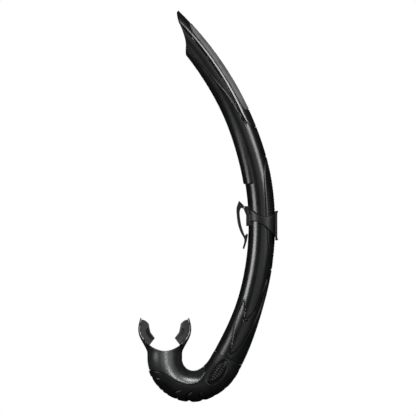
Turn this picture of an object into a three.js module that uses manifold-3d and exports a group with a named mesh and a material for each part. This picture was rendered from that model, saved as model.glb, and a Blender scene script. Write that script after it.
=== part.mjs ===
// Snorkel tube: a curved oval barrel with a soft elbow, a bite mouthpiece and a sliding strap keeper.
// Millimetres, +Z up. The whole bend lies in the XZ plane, and the snorkel is alike on both sides of it.
// -X is the side towards the wearer's head. The origin is the middle of the keeper's flat strap seat.
import * as THREE from 'three';
import { mergeVertices } from 'three/addons/utils/BufferGeometryUtils.js';
import Module from 'manifold-3d';

// ---- Driving dimensions: fits ----
const gap = 0.3; // between two pieces that touch
const runningGap = 0.3; // between the keeper and the barrel that it slides on

// ---- Driving dimensions: centre line, from the mouthpiece neck to the tip ----
// Each arc has a radius, and turns the line by an angle in degrees. All of them bend the same way.
const elbow = { radius: 30, turn: 115.4 };
const shoulder = { radius: 47.9, turn: 35.4 };
const lowerBarrel = { radius: 326, turn: 14 };
const slideZone = { radius: 292.6, turn: 23.75 };
const throat = { radius: 201, turn: 6.2 };
const upperBarrel = { radius: 338, turn: 36 };
const keeperShare = 0.6796; // place of the strap seat, as a share of the slide zone from its lower end

// ---- Driving dimensions: barrel and elbow sections, as full sizes ----
const neckWidth = 37.6;
const elbowWidth = 32.8;
const shoulderWidth = 33.8;
const barrelWidth = 29;
const upperWidth = 28.8;
const tipWidth = 26;
const neckDepth = 29;
const elbowDepth = 28;
const barrelDepth = 25;
const tipDepth = 23.6;
const barrelWall = 2.2;
const coreWall = 1.7;
const coreInsertion = 15; // how far the elbow core goes up inside the barrel
const seamAboveShoulder = 8; // from the end of the shoulder to the joint between elbow and barrel
const seamAboveNeck = 3; // from the start of the elbow to the lower edge of the sleeve

// ---- Driving dimensions: the tip and the top of the barrel ----
const mouthSpan = 43; // along the line, from the air opening's front corner to its peak at the back
const peakBelowEnd = 28.6; // from the peak to the end of the upper arc, which is cut away
const inlayDepth = 0.9; // thickness of the soft inlays let into the barrel
const coverDepth = 1.2; // thickness of the spine cover
const stripDepth = 0.6; // thickness of the visibility strip in it
const ridge = 0.38; // place across the section of the ridge that bounds the spine
const spineAboveThroat = 39.3; // from the end of the throat to the lower end of the spine cover
const keelRise = 2; // height of the front keel above the barrel at its step
const keelAboveSlide = 2.5; // from the end of the slide zone to the step, the keeper's upper stop
const keelLength = 95; // length over which the keel fades out above the step
const panelTopAboveSeam = 93; // from the barrel's seam to the upper end of the side panels
const gripAbovePanel = 10; // from there to the lower end of the back grip
const gripAboveSlide = 27; // from the end of the slide zone to the upper end of the back grip

// ---- Driving dimensions: elbow sleeve and purge ----
const sleeveRise = 0.9; // height of the sleeve's tread above the neighbouring surfaces
const badgeLength = 31;
const badgeBelowSeam = 19; // from the barrel's seam down to the middle of the badge
const purgeStation = 24.5;
const purgeRadius = 7.2; // of the round seat that carries the valve
const seatThickness = 1.6;
const seatHeight = 9.2; // from the centre line to the seat's inner face
const sealLand = 0.5; // ring of the seat that the valve bears on, outside the holes
const seatHoleRadius = 1.7;
const seatHoles = 4;
const valveThickness = 0.8;
const valveClearance = 0.7; // round the valve, inside the seat's edge
const stemRadius = 1;
const collarWall = 1.5;
const drainSlotWidth = 2;
const drainSlotLength = 9;
const drainSlotPitch = 6;

// ---- Driving dimensions: panel pins ----
const pinRadius = 1.8;
const pinDepth = 1.1; // below the barrel's skin
const pinProud = 0.3; // above it
const pinAboveSeam = 45.6;
const pinAcross = 0.06;

// ---- Driving dimensions: mouthpiece ----
const flangeHeight = 31; // across the lips, along Y
const mouthBoreWidth = 26;
const mouthBoreDepth = 19;
const mouthBoreLength = 40;
const neckHeight = 26; // how far the neck goes up inside the flange
const flangeFoot = 13.2; // height above the elbow at which the flange's arms start
const tabThickness = 5;
const lipHeight = 11;

// ---- Driving dimensions: keeper ----
const bandThickness = 1.6;
const seatDepth = 2.14; // from the strap seat to the band's bore
const seatWidth = 18;
const seatTop = 6;
const seatBottom = -6.2;
const plateThickness = 2.3;
const plateWidth = 22;
const plateTop = 10.3;
const plateBottom = -21.5;
const plateLip = 0.7; // how far the plate's two end lips stand out
const lipWidth = 2;
const plateProud = 0.3; // how far the plate's face stands above the band's back
const fingerWidth = 14;

// ---- Resolution ----
const sides = 16;
const elbowStep = 5;
const barrelStep = 15;
const far = 60; // further than any piece reaches from the middle plane
const inlayMargin = 4; // stock past the ends of an inlay, which its outline cuts away

// ---- Centre line ----
const arcs = [elbow, shoulder, lowerBarrel, slideZone, throat, upperBarrel];
const radians = THREE.MathUtils.degToRad;
const arcLength = (arc) => arc.radius * radians(arc.turn);
const shoulderStart = arcLength(elbow);
const lowerStart = shoulderStart + arcLength(shoulder);
const slideStart = lowerStart + arcLength(lowerBarrel);
const throatStart = slideStart + arcLength(slideZone);
const throatEnd = throatStart + arcLength(throat);
const lineEnd = throatEnd + arcLength(upperBarrel);
const barrelSeam = lowerStart + seamAboveShoulder;
const keelStation = throatStart + keelAboveSlide;
const spineEnd = throatEnd + spineAboveThroat;
const mouthPeakStation = lineEnd - peakBelowEnd;
const mouthFrontStation = mouthPeakStation - mouthSpan;
const tipEnd = mouthPeakStation + 6; // stock above the peak, which the air opening cuts away
const keeperStation = slideStart + keeperShare * arcLength(slideZone);
const barrelAxisX = seatDepth + runningGap + barrelWidth / 2;

// The point and the heading at a station, before the line is moved to its place. Stations below 0 run
// up the straight neck of the mouthpiece.
function unplaced(station) {
  if (station <= 0) return { x: 0, z: -station, heading: -Math.PI / 2 };
  let [x, z, heading, rest] = [0, 0, -Math.PI / 2, station];
  for (const arc of arcs) {
    const part = arc === upperBarrel ? rest : Math.min(rest, arcLength(arc));
    const next = heading + part / arc.radius;
    x += arc.radius * (Math.sin(next) - Math.sin(heading));
    z -= arc.radius * (Math.cos(next) - Math.cos(heading));
    heading = next;
    rest -= part;
    if (rest <= 0) break;
  }
  return { x, z, heading };
}

const keeperPoint = unplaced(keeperStation);

// The centre line at a station: its point, its direction t and its outward normal n, both in XZ.
function centreLine(station) {
  const { x, z, heading } = unplaced(station);
  return {
    x: x - keeperPoint.x + barrelAxisX,
    z: z - keeperPoint.z,
    t: { x: Math.cos(heading), z: Math.sin(heading) },
    n: { x: Math.sin(heading), z: -Math.cos(heading) },
  };
}

// A smooth value along the line through [station, value] knots. A stretch between two equal values
// stays flat, so the slide zone keeps one section.
function along(knots, station) {
  const slope = (i) => (knots[i + 1][1] - knots[i][1]) / (knots[i + 1][0] - knots[i][0]);
  const last = knots.length - 1;
  if (station <= knots[0][0]) return knots[0][1];
  if (station >= knots[last][0]) return knots[last][1];
  const i = knots.findIndex((knot, index) => index < last && station < knots[index + 1][0]);
  const tangent = (k) => {
    if (k === 0) return slope(0);
    if (k === last) return slope(last - 1);
    const [before, after] = [slope(k - 1), slope(k)];
    return before * after > 0 ? (2 * before * after) / (before + after) : 0;
  };
  const span = knots[i + 1][0] - knots[i][0];
  const f = (station - knots[i][0]) / span;
  const rise = f * f * (3 - 2 * f);
  const bend = tangent(i) * f * (1 - f) ** 2 - tangent(i + 1) * f * f * (1 - f);
  return knots[i][1] * (1 - rise) + knots[i + 1][1] * rise + bend * span;
}

// The mouthpiece funnel above the neck: half its width, by height above the start of the elbow.
const funnel = [
  [43, 26.3],
  [36.5, 28],
  [30, 28.6],
  [22.7, 27],
  [13.4, 22.2],
  [5.4, 18.9],
];
const widths = [
  ...funnel.map(([height, half]) => [-height, half]),
  [0, neckWidth / 2],
  [shoulderStart, elbowWidth / 2],
  [lowerStart, shoulderWidth / 2],
  [slideStart, barrelWidth / 2],
  [throatStart, barrelWidth / 2],
  [throatEnd, upperWidth / 2],
  [lineEnd, tipWidth / 2],
];
const depths = [
  [-30, flangeHeight / 2],
  [0, neckDepth / 2],
  [shoulderStart, elbowDepth / 2],
  [lowerStart, elbowDepth / 2],
  [slideStart, barrelDepth / 2],
  [throatStart, barrelDepth / 2],
  [lineEnd, tipDepth / 2],
];
const halfWidth = (station) => along(widths, station);
const halfDepth = (station) => along(depths, station);

// The point of the middle plane at a station and a place across the section, from -1 at the front
// edge to +1 at the back edge.
function spot([station, across]) {
  const c = centreLine(station);
  const reach = halfWidth(station) * across;
  return new THREE.Vector2(c.x + c.n.x * reach, c.z + c.n.z * reach);
}

// ---- Solids ----
const wasm = await Module();
wasm.setup();

function solidOf(geometry) {
  const bare = geometry.clone();
  bare.deleteAttribute('normal');
  bare.deleteAttribute('uv');
  const merged = mergeVertices(bare);
  return new wasm.Manifold(
    new wasm.Mesh({
      numProp: 3,
      vertProperties: merged.attributes.position.array,
      triVerts: new Uint32Array(merged.index.array),
    }),
  );
}

function geometryOf(solid) {
  const mesh = solid.getMesh();
  const geometry = new THREE.BufferGeometry();
  geometry.setAttribute('position', new THREE.BufferAttribute(mesh.vertProperties, 3));
  geometry.setIndex(new THREE.BufferAttribute(mesh.triVerts, 1));
  const flat = geometry.toNonIndexed();
  flat.computeVertexNormals();
  return flat;
}

// A solid oval rod along the centre line, standing off the tube's nominal skin by an offset. The
// offset is a number, or a function of the station and the place across the section.
function rod(from, to, offset, step = barrelStep) {
  const steps = Math.max(1, Math.round((to - from) / step));
  const geometry = new THREE.CylinderGeometry(1, 1, 1, sides, steps);
  const p = geometry.attributes.position;
  for (let i = 0; i < p.count; i += 1) {
    const station = from + (p.getY(i) + 0.5) * (to - from);
    const c = centreLine(station);
    const off = typeof offset === 'function' ? offset(station, p.getX(i)) : offset;
    const out = (halfWidth(station) + off) * p.getX(i);
    p.setXYZ(i, c.x + c.n.x * out, -(halfDepth(station) + off) * p.getZ(i), c.z + c.n.z * out);
  }
  return solidOf(geometry);
}

function shell(from, to, inner, outer, step) {
  return rod(from, to, outer, step).subtract(rod(from - 1, to + 1, inner, step));
}

// The elbow's pieces share one set of stations, so their skins stay parallel.
const elbowFrom = -2;
const elbowTo = elbowFrom + elbowStep * Math.ceil((barrelSeam + coreInsertion - elbowFrom) / elbowStep);
const elbowRod = (offset) => rod(elbowFrom, elbowTo, offset, elbowStep);

// A block across the tube: an outline in the XZ plane, carried along Y from one depth to another.
function block(points, nearY = -far, farY = far) {
  const geometry = new THREE.ExtrudeGeometry(new THREE.Shape(points), {
    depth: farY - nearY,
    bevelEnabled: false,
  });
  geometry.rotateX(Math.PI / 2);
  geometry.translate(0, farY, 0);
  return solidOf(geometry);
}

// The same outline moved outwards by a distance.
function grown(points, distance) {
  const turn = THREE.ShapeUtils.isClockWise(points) ? -1 : 1;
  return points.map((point, i) => {
    const before = points[(i + points.length - 1) % points.length];
    const after = points[(i + 1) % points.length];
    const a = point.clone().sub(before).normalize();
    const b = after.clone().sub(point).normalize();
    const normal = new THREE.Vector2(a.y + b.y, -a.x - b.x).normalize();
    const stretch = Math.max(0.5, normal.x * a.y - normal.y * a.x);
    return point.clone().addScaledVector(normal, (turn * distance) / stretch);
  });
}

// A closed outline on the tube through [station, place across] knots, which bends with the tube.
function traced(knots, step = 12) {
  return knots.flatMap(([s0, u0], i) => {
    const [s1, u1] = knots[(i + 1) % knots.length];
    const count = Math.max(1, Math.ceil(Math.abs(s1 - s0) / step));
    return Array.from({ length: count }, (unused, j) => {
      const f = j / count;
      return spot([s0 + (s1 - s0) * f, u0 + (u1 - u0) * f]);
    });
  });
}

// The same with its corners rounded by a spline.
function smooth(knots, count = 2 * knots.length) {
  const line = new THREE.SplineCurve([...knots, knots[0]].map(([s, u]) => new THREE.Vector2(s, u)));
  return line.getPoints(count).slice(0, -1).map((p) => spot([p.x, p.y]));
}

// An inlay let into the barrel's skin, and the recess that it lies in.
function inlay(knots, depth, [nearY, farY], outlineOf = traced) {
  const stations = knots.map(([station]) => station);
  const from = Math.max(barrelSeam + 1, Math.min(...stations) - inlayMargin);
  const to = Math.min(tipEnd, Math.max(...stations) + inlayMargin);
  const outline = outlineOf(knots);
  const piece = shell(from, to, -depth, 0).intersect(block(outline, nearY, farY));
  const recess = shell(from, to, -depth - gap, keelRise)
    .intersect(block(grown(outline, gap), nearY - gap, farY + gap));
  return { piece, recess };
}

// Places a solid whose +Y axis is along the outward normal at a station.
function onNormal(geometry, station, height) {
  const c = centreLine(station);
  const t = new THREE.Vector3(c.t.x, 0, c.t.z);
  const n = new THREE.Vector3(c.n.x, 0, c.n.z);
  const place = new THREE.Matrix4().makeBasis(t, n, t.clone().cross(n));
  place.setPosition(c.x + c.n.x * height, 0, c.z + c.n.z * height);
  return solidOf(geometry.clone().applyMatrix4(place));
}

// A round disc or plug on the normal at a station, between two heights above the centre line.
function plug(radius, low, high, station, round = 24) {
  const geometry = new THREE.CylinderGeometry(radius, radius, high - low, round);
  return onNormal(geometry, station, (low + high) / 2);
}

const box = (x0, x1, y0, y1, z0, z1) =>
  solidOf(
    new THREE.BoxGeometry(x1 - x0, y1 - y0, z1 - z0).translate((x0 + x1) / 2, (y0 + y1) / 2, (z0 + z1) / 2),
  );

const bothSides = [
  ['left', [0.5, far]],
  ['right', [-far, -0.5]],
];

// ---- The slanted air opening ----
// Its edge, from the front corner to the peak: [share of the way, place across the section].
const mouthEdge = [
  [-0.07, -1.4],
  [0, -1.1],
  [0.135, -0.78],
  [0.35, -0.26],
  [0.65, 0.22],
  [0.78, 0.4],
  [0.93, 0.76],
  [1, 1.04],
];

function mouthCutter() {
  const span = mouthPeakStation - mouthFrontStation;
  const edge = mouthEdge.map(([share, across]) => spot([mouthFrontStation + share * span, across]));
  const [front, peak] = [edge[0], edge[edge.length - 1]];
  const top = peak.y + far;
  return block([
    ...edge,
    new THREE.Vector2(peak.x + 3, peak.y + 3),
    new THREE.Vector2(peak.x + 3, top),
    new THREE.Vector2(front.x - 2 * far, top),
    new THREE.Vector2(front.x - 2 * far, front.y),
  ]);
}

// ---- Barrel and what is let into it ----
function spineKnots() {
  return [
    [mouthPeakStation + 12, ridge],
    [spineEnd + 18, ridge],
    [spineEnd, 0.72],
    [spineEnd - 4, 1.4],
    [mouthPeakStation + 12, 1.4],
  ];
}

function stripKnots() {
  const [peak, foot] = [mouthPeakStation, spineEnd];
  return [
    [peak - 18.5, 1.4],
    [peak - 18.5, 0.9],
    [peak - 28.5, 0.66],
    [peak - 46.5, 0.62],
    [peak - 78.5, 0.6],
    [foot + 24, 0.66],
    [foot + 18, 0.95],
    [foot + 17, 1.4],
  ];
}

function facetKnots() {
  const front = mouthFrontStation;
  return [
    [mouthPeakStation - 10, 0.25],
    [front - 13.5, 0.23],
    [front - 48.5, 0.24],
    [front - 65.5, 0.18],
    [front - 60.5, 0.02],
    [front - 45.5, -0.22],
    [front - 25.5, -0.46],
    [front - 8.5, -0.6],
    [front + 8, -0.66],
  ];
}

// The back grip, with its stations as shares of the way from its lower end to its upper end.
function gripKnots() {
  const foot = barrelSeam + panelTopAboveSeam + gripAbovePanel;
  const top = throatStart + gripAboveSlide;
  return [
    [1, 1],
    [0.889, 0.6],
    [0.744, 0.42],
    [0.521, 0.34],
    [0.316, 0.42],
    [0.162, 0.62],
    [0.043, 0.88],
    [0, 1],
    [0, 1.3],
    [1, 1.3],
  ].map(([share, across]) => [foot + share * (top - foot), across]);
}

function panelKnots() {
  return [
    [47, 0.08],
    [58, 0.46],
    [76, 0.64],
    [panelTopAboveSeam, 0.8],
    [76, 0.86],
    [52, 0.76],
    [29, 0.54],
    [14, 0.33],
    [7.5, 0.16],
    [5, -0.07],
    [12, -0.15],
    [23, -0.37],
    [38, -0.58],
    [52, -0.62],
    [65, -0.5],
    [56, -0.3],
  ].map(([aboveSeam, across]) => [barrelSeam + aboveSeam, across]);
}

function buildBarrel() {
  const opening = mouthCutter();
  const pieces = {};
  const recesses = [];
  const keel = (station, across) => {
    const along01 = THREE.MathUtils.clamp((keelStation + keelLength - station) / keelLength, 0, 1);
    const frontness = THREE.MathUtils.smoothstep(-across, 0.35, 0.95);
    return -gap + (keelRise + gap) * along01 * along01 * (3 - 2 * along01) * frontness;
  };

  const whole = [-far, far];
  const spine = inlay(spineKnots(), coverDepth, whole);
  const strip = inlay(stripKnots(), stripDepth, whole);
  pieces.spine_cover = spine.piece.subtract(strip.recess).subtract(opening);
  pieces.visibility_strip = strip.piece;
  recesses.push(spine.recess);

  const grip = inlay(gripKnots(), inlayDepth, whole);
  pieces.back_grip = grip.piece;
  recesses.push(grip.recess);

  for (const [side, range] of bothSides) {
    const facet = inlay(facetKnots(), inlayDepth, range);
    pieces[`tip_facet_${side}`] = facet.piece.subtract(opening);
    const panel = inlay(panelKnots(), inlayDepth, range, smooth);
    pieces[`side_panel_${side}`] = panel.piece;
    recesses.push(facet.recess, panel.recess);
  }

  let barrel = rod(barrelSeam, tipEnd, 0).add(rod(keelStation, keelStation + keelLength, keel, 6));
  barrel = barrel.subtract(rod(barrelSeam - 1, tipEnd + 1, -barrelWall));
  for (const cut of [...recesses, opening]) barrel = barrel.subtract(cut);
  pieces.barrel = barrel;
  return pieces;
}

// ---- Panel pins: round plugs at the upper notch of each side panel ----
function buildPins(pieces) {
  const pinStation = barrelSeam + pinAboveSeam;
  const at = spot([pinStation, pinAcross]);
  const skin = halfDepth(pinStation);
  for (const [side, [nearY]] of bothSides) {
    const sign = nearY > 0 ? 1 : -1;
    const cylinder = (radius, low, high) => {
      const geometry = new THREE.CylinderGeometry(radius, radius, high - low, 16);
      return solidOf(geometry.translate(at.x, (sign * (low + high)) / 2, at.y));
    };
    pieces[`panel_pin_${side}`] = cylinder(pinRadius, skin - pinDepth, skin + pinProud);
    const hole = cylinder(pinRadius + gap, skin - pinDepth - gap, skin + 2);
    pieces.barrel = pieces.barrel.subtract(hole);
    pieces[`side_panel_${side}`] = pieces[`side_panel_${side}`].subtract(hole);
  }
}

// ---- Elbow: the core duct, the mouthpiece round its inner side, the sleeve and the purge ----
// The S-shaped seam between the mouthpiece and the sleeve, closed round the mouthpiece's side.
function mouthpieceSide() {
  const seam = [
    [8, 1.25],
    [8.3, 1],
    [9.6, 0.74],
    [12, 0.46],
    [17.5, 0.2],
    [29.5, 0],
    [42.5, -0.08],
    [shoulderStart - 8.4, -0.17],
    [shoulderStart - 1.9, -0.34],
    [shoulderStart + 3.6, -0.5],
    [shoulderStart + 8.6, -0.68],
    [shoulderStart + 10.6, -1.2],
  ].map(spot);
  const [first, last] = [seam[0], seam[seam.length - 1]];
  const top = centreLine(0).z + far;
  return [
    ...seam,
    new THREE.Vector2(last.x, top),
    new THREE.Vector2(first.x - far, top),
    new THREE.Vector2(first.x - far, first.y),
  ];
}

// The purge window's edge, with its stations as shares of the collar's radius from its middle.
const collarRadius = purgeRadius + gap + collarWall;
function purgeOutline() {
  return [
    [-1.39, 1.25],
    [-1.31, 1],
    [-1.06, 0.8],
    [-0.72, 0.66],
    [-0.2, 0.57],
    [0.44, 0.59],
    [0.94, 0.72],
    [1.28, 0.95],
    [1.34, 1.25],
    [-0.06, 1.5],
  ].map(([share, across]) => spot([purgeStation + share * collarRadius, across]));
}

// An oval badge, which leans towards the front at its upper end.
function badgeOutline() {
  const count = 20;
  const [reach, lean] = [0.38, 0.09];
  return Array.from({ length: count }, (unused, i) => {
    const angle = (2 * Math.PI * i) / count;
    const station = barrelSeam - badgeBelowSeam + (badgeLength / 2) * Math.cos(angle);
    return spot([station, reach * Math.sin(angle) - lean * Math.cos(angle)]);
  });
}

// The sleeve stands proud on the outside of the bend and runs out flush on the inside.
const sleeveFlush = 0.1; // what is left of the rise on the inside of the bend
const sleeveSkin = (station, across) =>
  THREE.MathUtils.lerp(sleeveFlush, sleeveRise, THREE.MathUtils.smoothstep(across, -0.5, 0.5));

function buildElbow(pieces) {
  const coreOuter = -barrelWall - gap;
  const coreInner = coreOuter - coreWall;
  const skinHeight = halfWidth(purgeStation);

  // The core duct, with a round collar that holds the purge seat.
  const collar = plug(collarRadius, seatHeight - 1, skinHeight, purgeStation);
  const seatBore = plug(purgeRadius + gap, seatHeight - gap, skinHeight + 5, purgeStation);
  const waterWay = plug(purgeRadius - valveClearance - sealLand, seatHeight - 2, skinHeight, purgeStation);
  const bore = rod(elbowFrom - 1, elbowTo + 1, coreInner, elbowStep);
  pieces.elbow_core = elbowRod(coreOuter)
    .subtract(bore)
    .add(collar.intersect(elbowRod(coreOuter)))
    .subtract(seatBore)
    .subtract(waterWay);

  const seatTopHeight = seatHeight + seatThickness;
  let seat = plug(purgeRadius, seatHeight, seatTopHeight, purgeStation);
  const holeRing = purgeRadius - valveClearance - sealLand - seatHoleRadius;
  seat = seat.subtract(plug(stemRadius + gap, 0, skinHeight, purgeStation));
  for (let i = 0; i < seatHoles; i += 1) {
    const angle = (2 * Math.PI * (i + 0.5)) / seatHoles;
    const hole = new THREE.CylinderGeometry(seatHoleRadius, seatHoleRadius, skinHeight, 14);
    hole.translate(holeRing * Math.cos(angle), 0, holeRing * Math.sin(angle));
    seat = seat.subtract(onNormal(hole, purgeStation, seatHeight));
  }
  pieces.purge_seat = seat;

  const valveBottom = seatTopHeight + gap;
  const valveRadius = purgeRadius - valveClearance;
  pieces.purge_valve = plug(valveRadius, valveBottom, valveBottom + valveThickness, purgeStation)
    .add(plug(stemRadius, seatHeight - 1, valveBottom + valveThickness / 2, purgeStation, 12));

  // The sleeve covers the outside of the bend, up to the barrel.
  const side = mouthpieceSide();
  const window = purgeOutline();
  const skin = elbowRod(-barrelWall);
  const sleeveSpan = block(
    [
      [seamAboveNeck, 1.6],
      [seamAboveNeck, -1.6],
      [barrelSeam - gap, -1.6],
      [barrelSeam - gap, 1.6],
      ...[0.8, 0.6, 0.4, 0.2].map((share) => [barrelSeam * share, 1.9]),
    ].map(spot),
  );
  let sleeve = elbowRod(sleeveSkin)
    .subtract(skin)
    .intersect(sleeveSpan)
    .subtract(block(grown(side, gap)))
    .subtract(block(grown(window, gap)));
  const badge = badgeOutline();
  for (const [name, [nearY, farY]] of bothSides) {
    pieces[`badge_${name}`] = elbowRod(0).subtract(elbowRod(-inlayDepth))
      .intersect(block(badge, nearY, farY));
    sleeve = sleeve.subtract(
      elbowRod(sleeveRise + 1).subtract(elbowRod(-inlayDepth - gap))
        .intersect(block(grown(badge, gap), nearY, farY)),
    );
  }
  pieces.elbow_sleeve = sleeve;

  // The purge cover fills the sleeve's window, with three drain slots across its underside.
  let cover = elbowRod(sleeveRise - 0.2).subtract(elbowRod(-coverDepth)).intersect(block(window));
  for (const shift of [-drainSlotPitch, 0, drainSlotPitch]) {
    const slot = new THREE.BoxGeometry(drainSlotWidth, 12, drainSlotLength).translate(shift, 0, 0);
    cover = cover.subtract(onNormal(slot, purgeStation, skinHeight));
  }
  pieces.purge_cover = cover;

  pieces.mouthpiece = buildMouthpiece(skin, side);
}

// ---- Mouthpiece ----
// Places a point given by its distance from the neck's middle line and its height up the neck.
function overNeck([aside, height]) {
  const c = centreLine(-height);
  return new THREE.Vector2(c.x + aside, c.z);
}

// The inner face of the flange, which follows the arch of the teeth: right half, from the middle.
const arch = [
  [0, 7.6],
  [8, 9.2],
  [15.9, 13.6],
  [21.5, 18.6],
  [25.4, 23.8],
  [27.2, 30],
  [26.6, 36.5],
  [24.9, 43],
];
const mirrored = (points) => points.map(([aside, height]) => [-aside, height]);

// The flange narrows towards its two ends, as seen from the mouth.
function flangeTaper(height) {
  const f = THREE.MathUtils.clamp((height - 20) / 24, 0, 1);
  return Math.sqrt(1 - 0.72 * f * f);
}

function buildMouthpiece(skin, side) {
  const outer = funnel.filter(([height]) => height > flangeFoot - gap);
  const outerRight = outer.map(([height, half]) => [half, height]).reverse();
  const innerRight = arch.filter(([, height]) => height > flangeFoot - gap);
  const cShape = [
    ...outerRight,
    ...[...innerRight].reverse(),
    ...mirrored(innerRight),
    ...mirrored(outerRight).reverse(),
    [0, 4],
  ].map(overNeck);
  const geometry = new THREE.ExtrudeGeometry(new THREE.Shape(cShape), {
    depth: flangeHeight,
    steps: 2,
    bevelEnabled: false,
  });
  geometry.rotateX(Math.PI / 2).translate(0, flangeHeight / 2, 0);
  const base = centreLine(0).z;
  const p = geometry.attributes.position;
  for (let i = 0; i < p.count; i += 1) p.setY(i, p.getY(i) * flangeTaper(p.getZ(i) - base));

  const [archEnd] = arch[arch.length - 1];
  const archTop = [[archEnd, far], [-archEnd, far]];
  const archSpace = block([...mirrored(arch).reverse(), ...arch.slice(1), ...archTop].map(overNeck));
  const wall = elbowRod(0).subtract(skin).intersect(block(side));
  const neckRod = rod(-neckHeight, 0, 0, 3);
  const neck = rod(-neckHeight, elbowFrom + 1, 0, 3)
    .subtract(rod(elbowFrom - gap, elbowFrom + 3, -barrelWall, 2));
  const mouthBore = new THREE.CylinderGeometry(0.5, 0.5, mouthBoreLength, 24);
  mouthBore.rotateX(Math.PI / 2).scale(mouthBoreWidth, mouthBoreDepth, 1);
  mouthBore.translate(centreLine(0).x, 0, base + mouthBoreLength / 2 - 2);
  const belowFlange = block([[-40, 3], [40, 3], [40, flangeFoot], [-40, flangeFoot]].map(overNeck));
  const lips = solidOf(geometry).subtract(belowFlange.subtract(neckRod));
  return neck.add(wall).add(lips).subtract(archSpace).subtract(solidOf(mouthBore));
}

// The bite tabs lie inside the flange's two arms, and a lip along each keeps it behind the teeth.
function buildBiteTabs(pieces) {
  const tab = [
    [24.4, 41.2],
    [20.6, 40.1],
    [17.2, 37],
    [16.4, 32.6],
    [15.3, 27.6],
    [10.6, 21.3],
    [16, 14.1],
    [21.2, 18.8],
    [25, 24],
    [26.8, 30],
    [26.2, 36.5],
  ];
  const edge = [
    [16.4, 32.6],
    [15.3, 27.6],
    [10.6, 21.3],
    [11.7, 20.1],
    [16.7, 26.9],
    [17.9, 32.4],
  ];
  const shapes = { right: [tab, edge], left: [mirrored(tab), mirrored(edge)] };
  const names = { left: 'bite_tab_outer', right: 'bite_tab_inner' };
  for (const [key, [plate, lip]] of Object.entries(shapes)) {
    const half = tabThickness / 2;
    pieces[names[key]] = block(plate.map(overNeck), -half, half)
      .add(block(lip.map(overNeck), -lipHeight / 2, lipHeight / 2));
  }
}

// ---- Keeper: band, strap seat and back plate in one, and the finger that closes the strap slot ----
const fingerOutline = [
  [-2.1, 15.6],
  [-4.2, 17.9],
  [-7.6, 21.2],
  [-9.2, 17],
  [-10.4, 11.8],
  [-9.8, 2.5],
  [-8.3, -6],
  [-5.5, -13.6],
  [-1.9, -20.9],
  [-3.8, -30.4],
  [-1.9, -30.8],
  [0.9, -22],
  [2.1, -15.2],
  [0.7, -14],
  [-1.2, -16.6],
  [-3.4, -11],
  [-5.4, -4],
  [-6.7, 4.6],
  [-6.7, 10.1],
  [-5, 13.4],
  [-2.9, 12],
];

// The tongue of the band that the finger bends on.
const hingeTongue = [
  [-1.8, 15.4],
  [4, 15.2],
  [4, 5],
  [0, 5.5],
  [-2.5, 11.6],
];

function buildKeeper(pieces) {
  const lowest = keeperStation - 30;
  const highest = keeperStation + 26;
  const k = keeperStation;
  const bore = rod(lowest - 5, highest + 5, runningGap, elbowStep);
  const outline = [
    [k + 16, -1.35],
    [k + 14, -1],
    [k + 12.2, -0.68],
    [k + 8.2, -0.38],
    [k + 5, 0],
    [k + 4, 0.29],
    [k + 5.4, 0.7],
    [k + 9, 1],
    [k + 10, 1.4],
    [k - 21, 1.4],
    [k - 17, 1],
    [k - 12, 0.58],
    [k - 6, 0.13],
    [k - 1.3, -0.42],
    [k - 1.5, -0.72],
    [k - 4, -1],
    [k - 6, -1.35],
  ];
  const band = rod(lowest, highest, runningGap + bandThickness, elbowStep)
    .intersect(block(outline.map(spot)));
  const plateX = barrelAxisX + barrelWidth / 2 + runningGap;
  const plateOut = plateX + bandThickness + plateProud;
  const plateIn = plateOut - plateThickness;
  const platePiece = (out, low, high) => box(plateIn, out, -plateWidth / 2, plateWidth / 2, low, high);
  const plate = platePiece(plateOut, plateBottom, plateTop);
  const lipOut = plateOut + plateLip;
  const lips = [plateBottom, plateTop - lipWidth].map((low) => platePiece(lipOut, low, low + lipWidth));
  const seat = box(0, barrelAxisX / 2, -seatWidth / 2, seatWidth / 2, seatBottom, seatTop);
  const acrossY = ([x, z]) => new THREE.Vector2(x, z);
  const tongue = block(hingeTongue.map(acrossY), -fingerWidth / 2, fingerWidth / 2);
  const solids = [plate, ...lips, seat, tongue];
  pieces.keeper_band = solids.reduce((joined, solid) => joined.add(solid), band).subtract(bore);
  pieces.keeper_finger = block(fingerOutline.map(acrossY), -fingerWidth / 2, fingerWidth / 2)
    .subtract(bore);
}

// ---- Materials ----
const finish = (color, roughness) => new THREE.MeshStandardMaterial({ color, roughness, metalness: 0 });
const gloss = finish(0x0d0e0f, 0.22);
const satin = finish(0x2b2d2e, 0.5);
const soft = finish(0x1f2021, 0.62);
const grey = finish(0x6f7173, 0.6);
const silicone = finish(0x151617, 0.3);
const clear = finish(0x9a9ea0, 0.45);
const materials = {
  barrel: gloss,
  spine_cover: satin,
  visibility_strip: grey,
  back_grip: soft,
  tip_facet_left: soft,
  tip_facet_right: soft,
  side_panel_left: soft,
  side_panel_right: soft,
  panel_pin_left: gloss,
  panel_pin_right: gloss,
  elbow_core: gloss,
  elbow_sleeve: soft,
  badge_left: gloss,
  badge_right: gloss,
  purge_seat: gloss,
  purge_valve: clear,
  purge_cover: gloss,
  mouthpiece: silicone,
  bite_tab_outer: grey,
  bite_tab_inner: grey,
  keeper_band: satin,
  keeper_finger: satin,
};

// ---- Assembly ----
const pieces = buildBarrel();
buildPins(pieces);
buildElbow(pieces);
buildBiteTabs(pieces);
buildKeeper(pieces);

const snorkel = new THREE.Group();
for (const [name, solid] of Object.entries(pieces)) {
  const mesh = new THREE.Mesh(geometryOf(solid), materials[name]);
  mesh.name = name;
  snorkel.add(mesh);
}

export default snorkel;
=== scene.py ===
import math

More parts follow.
